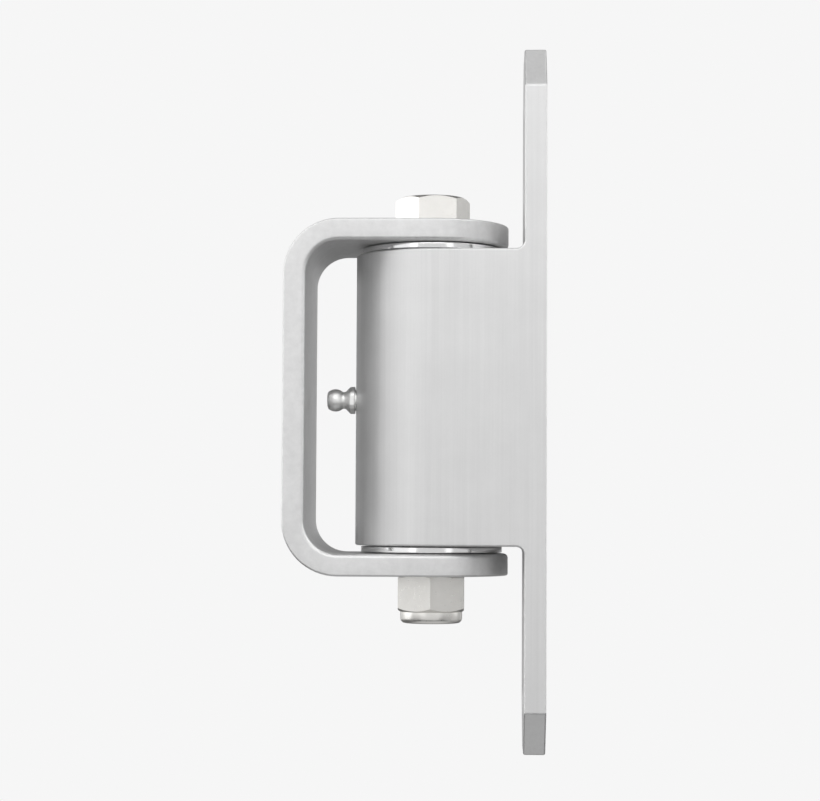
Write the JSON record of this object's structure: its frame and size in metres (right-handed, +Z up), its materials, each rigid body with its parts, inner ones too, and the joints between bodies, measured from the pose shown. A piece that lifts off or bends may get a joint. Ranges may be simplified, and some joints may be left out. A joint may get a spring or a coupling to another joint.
{
  "type": "barrel gate hinge",
  "caption": "Heavy greasable gate hinge: a plate leaf with a round-nosed bearing barrel, held by a bolt between the legs of a bent U-shaped yoke.",
  "frame": {"origin": "centre of the leaf plate's flat back face, half-way up the barrel", "axes": "+X is the outward normal of the leaf's back face, with the barrel and yoke towards -X; +Z is up along the pin, towards the bolt head; +Y completes the right-handed set"},
  "size_m": [0.0749, 0.0444, 0.2032],
  "materials": {
    "machined_aluminium": "satin, as extruded and machined",
    "bar_stock": "satin mill finish",
    "bright_zinc": "bright zinc plated steel",
    "plated_nipple": "bright plated steel",
    "polished_steel": "polished hardened steel",
    "plain_steel": "bare steel",
    "cage_polymer": "moulded",
    "nylon": "natural"
  },
  "bodies": {
    "leaf": {"barrel_leaf": "machined_aluminium", "upper_outer_race": "polished_steel", "lower_outer_race": "polished_steel", "upper_bearing_shield": "plain_steel", "lower_bearing_shield": "plain_steel", "grease_nipple": "plated_nipple", "nipple_spring": "plain_steel"},
    "yoke": {"yoke_bracket": "bar_stock", "pivot_bolt": "bright_zinc", "lock_nut": "bright_zinc", "lock_nut_insert": "nylon", "upper_thrust_washer": "polished_steel", "lower_thrust_washer": "polished_steel", "upper_inner_race": "polished_steel", "lower_inner_race": "polished_steel", "spacer_sleeve": "plain_steel"},
    "upper_cage": {"upper_ball_cage": "cage_polymer", "upper_ball_1": "polished_steel", "upper_ball_2": "polished_steel", "upper_ball_3": "polished_steel", "upper_ball_4": "polished_steel", "upper_ball_5": "polished_steel", "upper_ball_6": "polished_steel", "upper_ball_7": "polished_steel", "upper_ball_8": "polished_steel"},
    "lower_cage": {"lower_ball_cage": "cage_polymer", "lower_ball_1": "polished_steel", "lower_ball_2": "polished_steel", "lower_ball_3": "polished_steel", "lower_ball_4": "polished_steel", "lower_ball_5": "polished_steel", "lower_ball_6": "polished_steel", "lower_ball_7": "polished_steel", "lower_ball_8": "polished_steel"},
    "check_ball": {"nipple_check_ball": "polished_steel"}
  },
  "joints": [
    {"name": "swing", "type": "hinge", "parent": "leaf", "child": "yoke", "pos_m": [-0.033, 0, 0], "axis": [0, 0, 1], "range_deg": [-100, 100]},
    {"name": "upper_cage_turn", "type": "hinge", "parent": "leaf", "child": "upper_cage", "pos_m": [-0.033, 0, 0], "axis": [0, 0, 1], "range_deg": [-37, 37]},
    {"name": "lower_cage_turn", "type": "hinge", "parent": "leaf", "child": "lower_cage", "pos_m": [-0.033, 0, 0], "axis": [0, 0, 1], "range_deg": [-37, 37]},
    {"name": "check_ball_lift", "type": "slide", "parent": "leaf", "child": "check_ball", "axis": [1, 0, 0], "range_m": [0, 0.0008], "stiffness_N_per_m": 200, "springref_m": -0.002, "deforming": ["nipple_spring"]}
  ],
  "couplings": [
    {"joint": "upper_cage_turn", "follows": "swing", "ratio": 0.3666},
    {"joint": "lower_cage_turn", "follows": "swing", "ratio": 0.3666}
  ]
}
